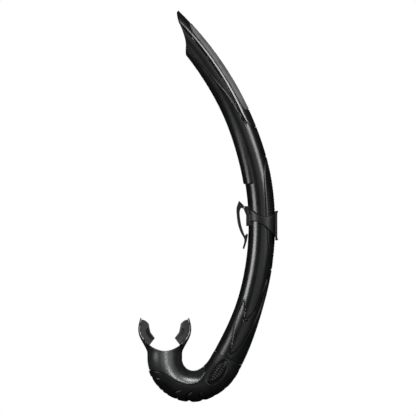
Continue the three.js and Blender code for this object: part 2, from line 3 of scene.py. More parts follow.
import bmesh
import bpy
import numpy as np
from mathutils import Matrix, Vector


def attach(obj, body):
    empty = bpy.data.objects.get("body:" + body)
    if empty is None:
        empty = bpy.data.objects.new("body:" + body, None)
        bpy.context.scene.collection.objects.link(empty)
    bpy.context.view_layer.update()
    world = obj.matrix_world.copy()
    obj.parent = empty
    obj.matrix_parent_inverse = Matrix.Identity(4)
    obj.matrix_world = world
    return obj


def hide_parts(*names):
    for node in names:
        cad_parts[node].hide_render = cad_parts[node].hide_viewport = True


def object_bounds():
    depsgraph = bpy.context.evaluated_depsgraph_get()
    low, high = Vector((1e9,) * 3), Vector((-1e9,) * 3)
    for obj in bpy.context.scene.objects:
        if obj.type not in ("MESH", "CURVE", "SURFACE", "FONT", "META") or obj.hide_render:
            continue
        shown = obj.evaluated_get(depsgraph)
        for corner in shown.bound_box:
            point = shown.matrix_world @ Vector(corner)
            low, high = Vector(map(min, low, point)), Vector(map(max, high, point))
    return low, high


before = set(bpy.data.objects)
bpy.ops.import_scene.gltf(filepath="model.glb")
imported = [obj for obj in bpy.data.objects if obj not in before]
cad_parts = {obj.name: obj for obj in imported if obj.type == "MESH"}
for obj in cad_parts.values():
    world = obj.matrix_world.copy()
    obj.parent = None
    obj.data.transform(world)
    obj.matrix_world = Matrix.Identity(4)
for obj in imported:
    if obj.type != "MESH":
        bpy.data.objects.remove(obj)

cad_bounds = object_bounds()
MM = 0.001
VIEW_SPAN = 0.4472
VIEW_SHIFT = (-0.0001, -0.0019)  # from the box's centre, along x and z
CAMERA_BACK = 1.6

# ---- Camera: square on to the bend, with no perspective, as the side view shows it ----
low, high = cad_bounds
centre = (np.array(low) + np.array(high)) / 2
camera_data = bpy.data.cameras.new("camera")
camera_data.type = "ORTHO"
camera_data.ortho_scale = VIEW_SPAN
camera = bpy.data.objects.new("camera", camera_data)
camera.location = (centre[0] + VIEW_SHIFT[0], -CAMERA_BACK, centre[2] + VIEW_SHIFT[1])
camera.rotation_euler = (math.pi / 2, 0, 0)
bpy.context.scene.collection.objects.link(camera)
bpy.context.scene.camera = camera

# ---- Centre line, in millimetres: (radius, turn in degrees) of each arc from the neck to the tip ----
ARCS = ((30, 115.4), (47.9, 35.4), (326, 14), (292.6, 23.75), (201, 6.2), (338, 36))
LENGTHS = [radius * math.radians(turn) for radius, turn in ARCS]
SHOULDER, LOWER, SLIDE, THROAT, UPPER, LINE_END = np.cumsum(LENGTHS)
KEEPER_SHARE = 0.6796  # of the slide zone, from its lower end
KEEPER = SLIDE + KEEPER_SHARE * LENGTHS[3]
GAP = 0.3
BARREL_WIDTH = 29
SEAT_DEPTH = 2.14  # from the strap seat to the band's bore
AXIS_X = SEAT_DEPTH + GAP + BARREL_WIDTH / 2  # the barrel's axis, from the strap seat
SEAM = LOWER + 8
PEAK = LINE_END - 28.6
FRONT = PEAK - 43
SPINE_END = UPPER + 39.3
KEEL = THROAT + 2.5
KEEL_LENGTH = 95
PURGE = 24.5
WALL = 2.2


def raw_line(station):
    station = np.asarray(station, float)
    x = np.zeros_like(station)
    z = np.where(station < 0, -station, 0.0)
    heading = np.full_like(station, -math.pi / 2)
    rest = np.maximum(station, 0)
    for i, (radius, turn) in enumerate(ARCS):
        part = rest if i == len(ARCS) - 1 else np.minimum(rest, LENGTHS[i])
        after = heading + part / radius
        x += radius * (np.sin(after) - np.sin(heading))
        z -= radius * (np.cos(after) - np.cos(heading))
        heading = after
        rest = rest - part
    return x, z, heading


KEEPER_POINT = [float(v) for v in raw_line(KEEPER)[:2]]


def line(station):
    """The centre line's x and z, and its outward normal's x and z."""
    x, z, heading = raw_line(station)
    return x - KEEPER_POINT[0] + AXIS_X, z - KEEPER_POINT[1], np.sin(heading), -np.cos(heading)


def along(knots, station):
    """A smooth value through (station, value) knots, flat between two equal ones."""
    at, value = np.array(knots, float).T
    slope = np.diff(value) / np.diff(at)
    tangent = np.empty_like(value)
    tangent[0], tangent[-1] = slope[0], slope[-1]
    before, after = slope[:-1], slope[1:]
    product = before * after
    total = np.where(product > 0, before + after, 1)
    tangent[1:-1] = np.where(product > 0, 2 * product / total, 0)
    s = np.clip(station, at[0], at[-1])
    i = np.clip(np.searchsorted(at, s, side="right") - 1, 0, len(at) - 2)
    span = at[i + 1] - at[i]
    f = (s - at[i]) / span
    rise = f * f * (3 - 2 * f)
    bend = tangent[i] * f * (1 - f) ** 2 - tangent[i + 1] * f * f * (1 - f)
    return value[i] * (1 - rise) + value[i + 1] * rise + bend * span


FUNNEL = ((43, 26.3), (36.5, 28), (30, 28.6), (22.7, 27), (13.4, 22.2), (5.4, 18.9))
WIDTHS = [(-height, half) for height, half in FUNNEL] + [
    (0, 18.8), (SHOULDER, 16.4), (LOWER, 16.9), (SLIDE, 14.5), (THROAT, 14.5), (UPPER, 14.4), (LINE_END, 13)]
DEPTHS = [(-30, 15.5), (0, 14.5), (SHOULDER, 14), (LOWER, 14), (SLIDE, 12.5), (THROAT, 12.5),
          (LINE_END, 11.8)]


def skin(station, angle, offset=0.0):
    """Points of the tube's skin. The angle is 0 at the back edge and pi at the front edge."""
    x, z, nx, nz = line(station)
    out = (along(WIDTHS, station) + offset) * np.cos(angle)
    y = (along(DEPTHS, station) + offset) * np.sin(angle)
    return np.stack([x + nx * out, y, z + nz * out], -1)


def spots(knots):
    """Points of the middle plane from (station, place across) knots, -1 at the front to 1 at the back."""
    station, across = np.array(knots, float).T
    x, z, nx, nz = line(station)
    reach = along(WIDTHS, station) * across
    return np.stack([x + nx * reach, z + nz * reach], -1)


def spline(points, count=8, closed=False):
    """A Catmull-Rom curve through points, with a count of steps between neighbours."""
    p = np.array(points, float)
    p = np.vstack([p[-1:], p, p[:2]]) if closed else np.vstack([2 * p[0] - p[1], p, 2 * p[-1] - p[-2]])
    f = (np.arange(count) / count)[:, None]
    parts = []
    for a, b, c, d in zip(p[:-3], p[1:-2], p[2:-1], p[3:]):
        parts.append(0.5 * (2 * b + (c - a) * f + (2 * a - 5 * b + 4 * c - d) * f**2
                            + (3 * b - a - 3 * c + d) * f**3))
    curve = np.vstack(parts)
    return curve if closed else np.vstack([curve, p[-2]])


def traced(knots, step=3.0):
    """A closed outline whose straight runs bend with the tube."""
    dense = []
    for (s0, u0), (s1, u1) in zip(knots, list(knots[1:]) + [knots[0]]):
        count = max(1, math.ceil(abs(s1 - s0) / step))
        dense += [(s0 + (s1 - s0) * j / count, u0 + (u1 - u0) * j / count) for j in range(count)]
    return spots(dense)


def signed(x, z, outline):
    """How far points are inside an outline in the middle plane, below 0 outside it."""
    best = np.full(x.shape, 1e9)
    inside = np.zeros(x.shape, bool)
    for (ax, az), (bx, bz) in zip(outline, np.roll(outline, -1, 0)):
        dx, dz = bx - ax, bz - az
        square = dx * dx + dz * dz
        if square < 1e-12:
            continue
        t = np.clip(((x - ax) * dx + (z - az) * dz) / square, 0, 1)
        best = np.minimum(best, (x - ax - t * dx) ** 2 + (z - az - t * dz) ** 2)
        if az != bz:
            inside ^= ((az > z) != (bz > z)) & (x < dx * (z - az) / dz + ax)
    return np.where(inside, 1, -1) * np.sqrt(best)


def within(outline):
    """The same as a field over the skin, for a patch."""
    def field(station, angle):
        p = skin(station, angle)
        return signed(p[..., 0], p[..., 2], outline)
    return field


def smoothstep(value, start, end):
    f = np.clip((value - start) / (end - start), 0, 1)
    return f * f * (3 - 2 * f)


def rounded(distance, radius):
    """How far a rounded edge drops, by the distance in from the edge."""
    f = 1 - np.clip(distance / radius, 0, 1)
    return radius * (1 - np.sqrt(np.clip(1 - f * f, 0, 1)))


# ---- Meshes ----
RADIUS = 14.0  # a middling radius of the tube, which turns angles into lengths


def object_from(name, vertices, faces, sharp=40):
    mesh = bpy.data.meshes.new(name)
    mesh.from_pydata((np.asarray(vertices) * MM).tolist(), [], [list(map(int, f)) for f in faces])
    mesh.validate()
    bm = bmesh.new()
    bm.from_mesh(mesh)
    bmesh.ops.recalc_face_normals(bm, faces=bm.faces)
    bm.to_mesh(mesh)
    bm.free()
    mesh.shade_smooth()
    mesh.set_sharp_from_angle(angle=math.radians(sharp))
    made = bpy.data.objects.new(name, mesh)
    bpy.context.scene.collection.objects.link(made)
    return made


def onto_rings(s, a, field, levels, reach, stations):
    """Moves the grid's points that are near a field's levels onto them."""
    value = field(s, a)
    target = levels[np.abs(value[..., None] - levels).argmin(-1)]
    near = np.abs(value - target) < reach
    if near.any():
        ns, na, e = s[near], a[near], 0.05
        ds = (field(ns + e, na) - field(ns - e, na)) / (2 * e)
        da = (field(ns, na + e / RADIUS) - field(ns, na - e / RADIUS)) / (2 * e)
        move = (target - value)[near] / np.maximum(ds * ds + da * da, 0.15)
        s[near] = np.clip(ns + move * ds, *stations)
        a[near] = na + move * da / RADIUS
        value[near] = target[near]
    return value


def patch(name, stations, angles, field, top, bottom, step=0.7, closed=False, sharp=40, creases=()):
    """A closed plate on the skin, where the field is above 0. Points near its edge lie on even rings, so
    that the edge is clean. top and bottom give the two faces' offsets from the skin. Creases are further
    (field, levels) pairs that the grid follows."""
    rows = max(2, round((stations[1] - stations[0]) / step) + 1)
    turn = angles[1] - angles[0]
    columns = max(8, round(turn * RADIUS / step))
    s_line = np.linspace(*stations, rows)
    a_line = angles[0] + turn * np.arange(columns + (0 if closed else 1)) / columns
    s, a = (grid.copy() for grid in np.meshgrid(s_line, a_line, indexing="ij"))
    for crease, levels in creases:
        onto_rings(s, a, crease, np.array(levels), 0.5 * step, stations)
    d = onto_rings(s, a, field, np.arange(4) * step, 0.55 * step, stations)
    ok = d >= 0
    index = np.arange(s.size).reshape(s.shape)
    wrap = a_line.size if closed else a_line.size - 1
    faces = []
    for j in range(wrap):
        k = (j + 1) % a_line.size
        quads = np.stack([index[:-1, j], index[1:, j], index[1:, k], index[:-1, k]], -1)
        good = np.stack([ok[:-1, j], ok[1:, j], ok[1:, k], ok[:-1, k]], -1)
        count = good.sum(-1)
        faces += quads[count == 4].tolist()
        faces += [[v for v, g in zip(q, keep) if g] for q, keep in zip(quads[count == 3], good[count == 3])]
    used = np.unique([v for f in faces for v in f])
    new = np.full(s.size, -1)
    new[used] = np.arange(len(used))
    faces = [[int(new[v]) for v in f] for f in faces]
    su, au, du = s.ravel()[used], a.ravel()[used], d.ravel()[used]
    upper = skin(su, au, top(su, au, du))
    lower = skin(su, au, bottom(su, au, du) if callable(bottom) else bottom)
    edges = {}
    for f in faces:
        for v, w in zip(f, f[1:] + f[:1]):
            edges[(v, w)] = True
    n = len(used)
    walls = [[w, v, v + n, w + n] for (v, w) in edges if (w, v) not in edges]
    under = [[v + n for v in reversed(f)] for f in faces]
    return object_from(name, np.vstack([upper, lower]), faces + under + walls, sharp)


def extruded(name, outline, near_y, far_y, steps=2, reach=None):
    """A prism across the tube. reach gives the share of its depth by height, where it narrows."""
    outline = np.asarray(outline, float)
    n = len(outline)
    levels = np.linspace(near_y, far_y, steps + 1)
    rings = []
    for y in levels:
        deep = np.full(n, y) if reach is None else y * reach(outline[:, 1])
        rings.append(np.stack([outline[:, 0], deep, outline[:, 1]], -1))
    faces = [list(range(n)), [steps * n + i for i in reversed(range(n))]]
    for k in range(steps):
        for i in range(n):
            j = (i + 1) % n
            faces.append([k * n + i, (k + 1) * n + i, (k + 1) * n + j, k * n + j])
    return object_from(name, np.vstack(rings), faces)


def solid_rod(name, start, end, offset, step=1.5, columns=72):
    """A solid oval rod along the centre line."""
    rows = max(2, round((end - start) / step) + 1)
    turns = np.arange(columns) * 2 * math.pi / columns
    s, a = np.meshgrid(np.linspace(start, end, rows), turns, indexing="ij")
    points = skin(s, a, offset).reshape(-1, 3)
    faces = [list(range(columns)), [(rows - 1) * columns + i for i in reversed(range(columns))]]
    for i in range(rows - 1):
        for j in range(columns):
            k = (j + 1) % columns
            faces.append([i * columns + j, (i + 1) * columns + j, (i + 1) * columns + k, i * columns + k])
    return object_from(name, points, faces)


def evaluated(thing):
    return bpy.data.meshes.new_from_object(thing.evaluated_get(bpy.context.evaluated_depsgraph_get()))


def carved(solid, *cuts):
    """A solid with others cut out of it. The others stay, ready for the next cut."""
    for other in cuts:
        cut = solid.modifiers.new("cut", "BOOLEAN")
        cut.operation = "DIFFERENCE"
        cut.solver = "EXACT"
        cut.object = other
    shape = evaluated(solid)
    solid.modifiers.clear()
    solid.data = shape
    return solid


def fused(name, solids, voxel=0.5, smooth=4, sharp=60):
    """One moulding from overlapping closed solids, with soft fillets where they meet."""
    bm = bmesh.new()
    for solid in solids:
        bm.from_mesh(solid.data)
        bpy.data.objects.remove(solid)
    mesh = bpy.data.meshes.new(name)
    bm.to_mesh(mesh)
    bm.free()
    made = bpy.data.objects.new(name, mesh)
    bpy.context.scene.collection.objects.link(made)
    remesh = made.modifiers.new("remesh", "REMESH")
    remesh.mode = "VOXEL"
    remesh.voxel_size = voxel * MM
    ease = made.modifiers.new("ease", "SMOOTH")
    ease.factor = 0.5
    ease.iterations = smooth
    shape = evaluated(made)
    made.modifiers.clear()
    made.data = shape
    shape.shade_smooth()
    shape.set_sharp_from_angle(angle=math.radians(sharp))
    return made


# ---- Materials ----
class Nodes:
    """A short way to build a material's nodes."""

    def __init__(self, name):
        self.material = bpy.data.materials.new(name)
        self.material.use_nodes = True
        self.tree = self.material.node_tree
        self.shader = self.tree.nodes["Principled BSDF"]
        self.place = self.add("ShaderNodeTexCoord").outputs["Object"]

    def add(self, kind, **values):
        node = self.tree.nodes.new(kind)
        for key, value in values.items():
            setattr(node, key, value)
        return node

    def link(self, output, socket):
        self.tree.links.new(output, socket)

    def noise(self, scale, detail=3, roughness=0.55):
        node = self.add("ShaderNodeTexNoise")
        node.inputs["Scale"].default_value = scale
        node.inputs["Detail"].default_value = detail
        node.inputs["Roughness"].default_value = roughness
        self.link(self.place, node.inputs["Vector"])
        return node.outputs["Fac"]

    def cells(self, scale):
        node = self.add("ShaderNodeTexVoronoi")
        node.inputs["Scale"].default_value = scale
        self.link(self.place, node.inputs["Vector"])
        return node.outputs["Distance"]

    def spread(self, value, low, high, start=0.3, end=0.7):
        node = self.add("ShaderNodeMapRange")
        for key, number in (("From Min", start), ("From Max", end), ("To Min", low), ("To Max", high)):
            node.inputs[key].default_value = number
        self.link(value, node.inputs["Value"])
        return node.outputs["Result"]

    def between(self, value, dark, light):
        node = self.add("ShaderNodeValToRGB")
        node.color_ramp.elements[0].position = 0.3
        node.color_ramp.elements[1].position = 0.7
        node.color_ramp.elements[0].color = (*dark, 1)
        node.color_ramp.elements[1].color = (*light, 1)
        self.link(value, node.inputs["Fac"])
        return node.outputs["Color"]

    def bump(self, height, strength, distance, under=None):
        node = self.add("ShaderNodeBump")
        node.inputs["Strength"].default_value = strength
        node.inputs["Distance"].default_value = distance
        self.link(height, node.inputs["Height"])
        if under is not None:
            self.link(under, node.inputs["Normal"])
        return node.outputs["Normal"]


def worn(nodes, colour, edge_colour, amount):
    """Paler, handled edges, from how far the surface stands out."""
    point = nodes.add("ShaderNodeNewGeometry").outputs["Pointiness"]
    edge = nodes.spread(point, 0, amount, 0.54, 0.75)
    mix = nodes.add("ShaderNodeMix", data_type="RGBA")
    nodes.link(edge, mix.inputs["Factor"])
    nodes.link(colour, mix.inputs["A"])
    mix.inputs["B"].default_value = (*edge_colour, 1)
    return mix.outputs["Result"]


def finish(name, base, rough, grain, depth, spread=0.35, edge=0.35, specular=0.5, pattern="noise"):
    """A moulded finish: clouded colour, uneven gloss, fine grain and paler edges."""
    n = Nodes(name)
    base = np.array(base)
    colour = n.between(n.noise(60, 4), tuple(base * (1 - spread)), tuple(base * (1 + spread)))
    n.link(worn(n, colour, tuple(np.minimum(base * 1.7 + 0.004, 1)), edge), n.shader.inputs["Base Color"])
    smudge = n.spread(n.noise(38, 5, 0.62), rough * 0.82, min(1, rough * 1.25))
    n.link(smudge, n.shader.inputs["Roughness"])
    fine = n.cells(grain) if pattern == "cells" else n.noise(grain, 2)
    normal = n.bump(n.noise(150, 2), 0.12, 0.0002)
    n.link(n.bump(fine, depth, 0.00005, normal), n.shader.inputs["Normal"])
    n.shader.inputs["Specular IOR Level"].default_value = specular
    return n.material


SILICONE = (0.012, 0.013, 0.0135)
MATERIALS = {
    "barrel_gloss": finish("barrel_gloss", (0.008, 0.0085, 0.009), 0.24, 2600, 0.02, edge=0.2),
    "cover_satin": finish("cover_satin", (0.014, 0.0145, 0.015), 0.2, 3000, 0.05, specular=0.85),
    "strip_grey": finish("strip_grey", (0.19, 0.193, 0.196), 0.45, 3000, 0.2),
    "grip_soft": finish("grip_soft", (0.007, 0.0073, 0.0076), 0.27, 3200, 0.15),
    "hard_black": finish("hard_black", (0.008, 0.0085, 0.009), 0.16, 2600, 0.03),
    "sleeve_rubber": finish("sleeve_rubber", (0.009, 0.0095, 0.0095), 0.4, 3000, 0.2, specular=0.32),
    "valve_clear": finish("valve_clear", (0.5, 0.52, 0.53), 0.3, 2000, 0.05),
    "mouth_silicone": finish("mouth_silicone", SILICONE, 0.28, 2400, 0.05),
    "flange_matt": finish("flange_matt", SILICONE, 0.5, 2400, 0.05, specular=0.15),
    "bite_grey": finish("bite_grey", (0.09, 0.091, 0.093), 0.6, 900, 0.5, pattern="cells"),
    "keeper_satin": finish("keeper_satin", (0.012, 0.0125, 0.013), 0.34, 3200, 0.2, specular=0.36),
}


def dress(piece, slot, body, *nodes, look=None):
    piece.data.materials.clear()
    piece.data.materials.append(MATERIALS[look or slot])
    if nodes:
        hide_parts(*nodes)
    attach(piece, body)
    return piece


# ---- Outlines on the barrel, from (station, place across) knots ----
def spine_outline():
    return traced([(PEAK + 12, 0.38), (SPINE_END + 18, 0.38), (SPINE_END + 7, 0.45), (SPINE_END, 0.72),
                   (SPINE_END - 4, 1.4), (PEAK + 12, 1.4)])


def strip_outline():
    edge = [(PEAK - 18.5, 0.95), (PEAK - 20.5, 0.84), (PEAK - 28.5, 0.66), (PEAK - 46.5, 0.62),
            (PEAK - 78.5, 0.6), (SPINE_END + 28, 0.65), (SPINE_END + 20, 0.76), (SPINE_END + 18, 0.97)]
    return spots([(PEAK - 18.5, 1.4), *spline(edge, 8).tolist(), (SPINE_END + 18, 1.4),
                  *[(SPINE_END + 18 + 6 * i, 1.4) for i in range(1, 15)]])


FACET_LOW = ((FRONT - 97, 0.36), (FRONT - 81, 0.13), (FRONT - 64.5, 0.0), (FRONT - 45.5, -0.22),
             (FRONT - 25.5, -0.46), (FRONT - 8.5, -0.6))


def facet_outline():
    lower = [*FACET_LOW, (FRONT + 8, -0.66)]
    upper = [(PEAK - 10, 0.27), (FRONT - 13.5, 0.23), (FRONT - 48.5, 0.24), (FRONT - 66, 0.21),
             (FRONT - 80, 0.245), (FRONT - 97, 0.36)]
    return spots([*spline(upper, 10).tolist(), *spline(lower, 8)[1:].tolist()])


def facet_front_outline():
    """The space behind the facet's front edge, which is carried on past the facet's ends."""
    edge = spline([*FACET_LOW, (FRONT + 40, -0.75)], 8).tolist()
    return spots([*edge, (FRONT + 60, 1.3), (FRONT - 100, 1.3)])


def groove_outline():
    """The channel between the spine cover and the facet, which tapers out below the facet."""
    lower = [(PEAK - 9, 0.33), (FRONT + 8, 0.27), (FRONT - 13.5, 0.245), (FRONT - 48.5, 0.25),
             (FRONT - 66, 0.2), (FRONT - 80, 0.235), (FRONT - 95, 0.37)]
    return spots([*spline(lower, 8).tolist(), *[(FRONT - 96 + 6 * i, 0.385) for i in range(22)]])


def grip_outline():
    edge = [(THROAT + 27, 1), (THROAT + 14, 0.6), (THROAT - 3, 0.42), (THROAT - 29, 0.34),
            (THROAT - 53, 0.42), (THROAT - 71, 0.62), (THROAT - 85, 0.88), (THROAT - 90, 1)]
    back = [(THROAT - 90 + 6 * i, 1.35) for i in range(20)]
    return spots([*spline(edge, 8).tolist(), *back])


def panel_outline():
    knots = [(47, 0.08), (58, 0.46), (76, 0.64), (93, 0.8), (76, 0.86), (52, 0.76), (29, 0.54), (14, 0.33),
             (7.5, 0.16), (5, -0.07), (12, -0.15), (23, -0.37), (38, -0.58), (52, -0.62), (65, -0.5),
             (56, -0.3)]
    return spots(spline([(SEAM + s, u) for s, u in knots], 5, closed=True))


MOUTH_EDGE = ((-0.07, -1.4), (0, -1.1), (0.135, -0.78), (0.35, -0.26), (0.65, 0.22), (0.78, 0.4),
              (0.93, 0.76), (1, 1.04))


def mouth_outline():
    """The space that the slanted air opening cuts away."""
    edge = spline(spots([(FRONT + share * (PEAK - FRONT), u) for share, u in MOUTH_EDGE]), 6)
    first, last = edge[0], edge[-1]
    return np.vstack([edge, last + 3, [last[0] + 3, last[1] + 60], [first[0] - 120, last[1] + 60],
                      [first[0] - 120, first[1]]])


SPINE, STRIP, FACET, GROOVE = spine_outline(), strip_outline(), facet_outline(), groove_outline()
GRIP, PANEL, MOUTH = grip_outline(), panel_outline(), mouth_outline()
FACET_FRONT = facet_front_outline()
PIN = spots([(SEAM + 45.6, 0.06)])[0]
PIN_RADIUS = 1.8
PIN_BED = PIN_RADIUS + 0.5
TIP = PEAK + 6
ALL_ROUND = (0, 2 * math.pi)


def plane_of(s, a):
    p = skin(s, a)
    return p[..., 0], p[..., 2]


def open_field(s, a):
    return -signed(*plane_of(s, a), MOUTH)


# ---- Barrel ----
def barrel_top(s, a, d):
    x, z = plane_of(s, a)
    across = np.cos(a)
    share = np.clip((KEEL + KEEL_LENGTH - s) / KEEL_LENGTH, 0, 1) * smoothstep(s, KEEL - 0.4, KEEL + 0.4)
    off = 2 * share**2 * (3 - 2 * share) * smoothstep(-across, 0.35, 0.95)
    for outline, depth in ((SPINE, 1.5), (FACET, 1.2), (GRIP, 1.2), (PANEL, 1.2)):
        off = off - depth * smoothstep(signed(x, z, outline), -0.75, 0.1)
    off = off - 0.9 * smoothstep(signed(x, z, GROOVE), -0.2, 0.9) * (signed(x, z, SPINE) < -0.3)
    off = off - 0.6 * smoothstep(PIN_BED - np.hypot(x - PIN[0], z - PIN[1]), -0.2, 0.5)
    end = np.minimum(s - SEAM, 1.0)
    return off - rounded(np.minimum(d, end), 0.2)


recesses = [(within(outline), (-0.75, -0.3, 0.1)) for outline in (SPINE, FACET, GRIP, PANEL)]
barrel = patch("barrel_shell", (SEAM, TIP), ALL_ROUND, open_field, barrel_top, -WALL, 0.5, True,
               creases=recesses)
dress(barrel, "barrel_gloss", "tube", "barrel")


def inlay_patch(name, outline, slot, stations, angles, node, thickness=0.9, edge=0.7, extra=None, height=0.0,
                step=0.4):
    """An inlay with rounded edges, flush with the barrel."""
    def field(s, a):
        x, z = plane_of(s, a)
        return np.minimum(signed(x, z, outline), -signed(x, z, MOUTH))

    def top(s, a, d):
        more = extra(s, a, d) if extra else 0
        to_mouth = -signed(*plane_of(s, a), MOUTH)
        return height - np.where(d < 0.999 * to_mouth, rounded(d, edge), rounded(d, 0.25)) + more

    piece = patch(name, stations, angles, field, top, -thickness, step)
    return dress(piece, slot, "tube", node)


def spine_extra(s, a, d):
    """A shallow bed for the strip."""
    return -0.75 * smoothstep(signed(*plane_of(s, a), STRIP), -0.7, 0.1)


def strip_extra(s, a, d):
    """A low rib that runs along the strip near its edge."""
    return 0.22 * np.exp(-(((d - 2.2) / 0.55) ** 2))


def facet_extra(s, a, d):
    """The panel lies below a lip that runs along its front edge."""
    x, z = plane_of(s, a)
    from_front = signed(x, z, FACET_FRONT)
    return -0.6 * smoothstep(from_front, 0.35, 1.5) * smoothstep(s, FRONT - 92, FRONT - 70)


BACK = (-1.25, 1.25)
inlay_patch("spine_cover_shell", SPINE, "cover_satin", (SPINE_END - 6, TIP), BACK, "spine_cover", 1.2, 0.6,
            spine_extra)
inlay_patch("visibility_strip_inlay", STRIP, "strip_grey", (SPINE_END + 14, PEAK - 16), (-1.0, 1.0),
            "visibility_strip", 0.6, 0.5, strip_extra, 0.05)


def grip_extra(s, a, d):
    """Fine cross ribs that fade out towards the edge."""
    wave = 0.5 + 0.5 * np.cos((s - THROAT) * 2 * math.pi / 3.2)
    return -0.28 * wave * smoothstep(d, 1.4, 3.4)


inlay_patch("back_grip_inlay", GRIP, "grip_soft", (THROAT - 94, THROAT + 30), (-1.3, 1.3), "back_grip", 0.9,
            0.9, grip_extra)


def from_pin(s, a):
    x, z = plane_of(s, a)
    return np.hypot(x - PIN[0], z - PIN[1])


def panel_field(s, a):
    return np.minimum(signed(*plane_of(s, a), PANEL), from_pin(s, a) - (PIN_RADIUS + GAP))


def pin_field(s, a):
    return PIN_RADIUS - from_pin(s, a)


for side, sign in (("left", 1), ("right", -1)):
    half = (0.05, math.pi - 0.05) if sign > 0 else (-math.pi + 0.05, -0.05)
    inlay_patch(f"tip_facet_{side}_inlay", FACET, "grip_soft", (FRONT - 98, PEAK), half,
                f"tip_facet_{side}", 1.3, 0.5, facet_extra, step=0.33)
    panel = patch(f"side_panel_{side}_inlay", (SEAM + 1, SEAM + 100), half, panel_field,
                  lambda s, a, d: -rounded(d, 0.8), -0.9, 0.6)
    dress(panel, "grip_soft", "tube", f"side_panel_{side}")
    pin = patch(f"panel_pin_{side}_head", (SEAM + 42, SEAM + 50), half, pin_field,
                lambda s, a, d: 0.3 - rounded(d, 1.5), -1.0, 0.3)
    dress(pin, "barrel_gloss", "tube", f"panel_pin_{side}")

# ---- Elbow ----
SIDE_SEAM = ((8, 1.25), (8.3, 1), (9.6, 0.74), (12, 0.46), (17.5, 0.2), (29.5, 0), (42.5, -0.08),
             (SHOULDER - 8.4, -0.17), (SHOULDER - 1.9, -0.34), (SHOULDER + 3.6, -0.5),
             (SHOULDER + 8.6, -0.68), (SHOULDER + 10.6, -1.2))


def side_outline():
    seam = spline(spots(SIDE_SEAM), 6)
    first, last = seam[0], seam[-1]
    top = float(line(0)[1]) + 60
    return np.vstack([seam, [last[0], top], [first[0] - 60, top], [first[0] - 60, first[1]]])


def window_outline():
    collar = 9.0
    knots = [(-1.39, 1.25), (-1.31, 1), (-1.06, 0.8), (-0.72, 0.66), (-0.2, 0.57), (0.44, 0.59),
             (0.94, 0.72), (1.28, 0.95), (1.34, 1.25)]
    return spots(np.vstack([spline([(PURGE + f * collar, u) for f, u in knots], 6), [(PURGE, 1.6)]]))


def badge_outline(grow=1.0):
    turn = np.linspace(0, 2 * math.pi, 48, endpoint=False)
    return spots(np.stack([SEAM - 19 + 15.5 * grow * np.cos(turn),
                           0.38 * grow * np.sin(turn) - 0.09 * grow * np.cos(turn)], -1))


SIDE, WINDOW, BADGE = side_outline(), window_outline(), badge_outline()
TREAD_FIRST, TREAD_PITCH, TREADS = 35.0, 9.7, 7


def tread(s, across):
    """Curved grooves that rise from the outer edge of the bend and lean towards the mouthpiece."""
    depth = np.zeros_like(s)
    up = np.clip((1 - across) / 0.7, 0, 1)
    for i in range(TREADS):
        middle = TREAD_FIRST + TREAD_PITCH * i - 3.5 * np.sin(up * math.pi * 0.9) + 5 * up**2
        width = 1.1 * (1 - up) + 0.25
        depth = np.maximum(depth, np.exp(-(((s - middle) / width) ** 2)) * (1 - smoothstep(up, 0.7, 1)))
    return depth


def sleeve_field(s, a):
    x, z = plane_of(s, a)
    parts = [-signed(x, z, SIDE) - 0.2, -signed(x, z, WINDOW) - 0.15, s - 3, SEAM + 0.14 - s]
    return np.minimum.reduce(parts)


def sleeve_top(s, a, d):
    x, z = plane_of(s, a)
    across = np.cos(a)
    fade = smoothstep(SEAM - s, 0, 26)
    off = 0.1 + 0.75 * smoothstep(across, -0.5, 0.5) * fade
    off = off - 1.6 * tread(s, across) * (0.2 + 0.8 * smoothstep(SEAM - s, 28, 56))
    badge = signed(x, z, BADGE)
    off = off + 0.3 * np.exp(-(((badge + 1.3) / 0.7) ** 2))
    off = off - (off + 1.1) * smoothstep(badge, -0.5, 0.2)
    return off - rounded(d, 0.4)


sleeve = patch("elbow_sleeve_skin", (3, SEAM - 0.06), ALL_ROUND, sleeve_field, sleeve_top, -WALL, 0.42, True,
               creases=[(within(BADGE), (-0.5, -0.15, 0.2))])
dress(sleeve, "sleeve_rubber", "tube", "elbow_sleeve")


def badge_top(s, a, d):
    """A low lens with plain ribs along its middle."""
    ribs = 0.3 * (0.5 + 0.5 * np.cos((s - SEAM) * 2 * math.pi / 2.9)) * smoothstep(d, 2.6, 3.8)
    return -0.6 + 0.3 * smoothstep(d, 0, 3.5) - rounded(d, 0.4) + ribs


for side, half in (("left", (0.3, math.pi - 0.3)), ("right", (-math.pi + 0.3, -0.3))):
    badge = patch(f"badge_{side}_lens", (SEAM - 36, SEAM - 2), half, within(BADGE), badge_top, -1.0, 0.3)
    dress(badge, "hard_black", "tube", f"badge_{side}")


SLOT_PITCH = 3.72


def cover_top(s, a, d):
    """A smooth lens with three drain slots on its underside."""
    y = (along(DEPTHS, s)) * np.sin(a)
    slots = np.zeros_like(s)
    for place in (-1, 0, 1):
        apart = np.maximum(np.abs(s - PURGE - place * SLOT_PITCH) - 0.55, np.abs(y) - 4.2)
        slots = np.maximum(slots, 1 - smoothstep(apart, -0.2, 0.4))
    return 0.2 + 0.5 * smoothstep(d, 0, 4) - rounded(d, 0.4) - 0.5 * slots


cover = patch("purge_cover_lens", (8, 42), (-1.3, 1.3), within(WINDOW), cover_top, -1.7, 0.45)
dress(cover, "hard_black", "tube", "purge_cover")

# ---- Mouthpiece ----
MOUTH_X, MOUTH_Z = float(line(0)[0]), float(line(0)[1])
ARCH = ((0, 7.6), (8, 9.2), (15.9, 13.6), (21.5, 18.6), (25.4, 23.8), (27.2, 30), (26.6, 36.5), (24.9, 43))


def over_neck(points):
    points = np.asarray(points, float)
    return np.stack([MOUTH_X + points[:, 0], MOUTH_Z + points[:, 1]], -1)


def mirror(points):
    return [(-x, z) for x, z in points]


def flange_reach(z):
    f = np.clip((z - MOUTH_Z - 20) / 24, 0, 1)
    return np.sqrt(1 - 0.72 * f * f)


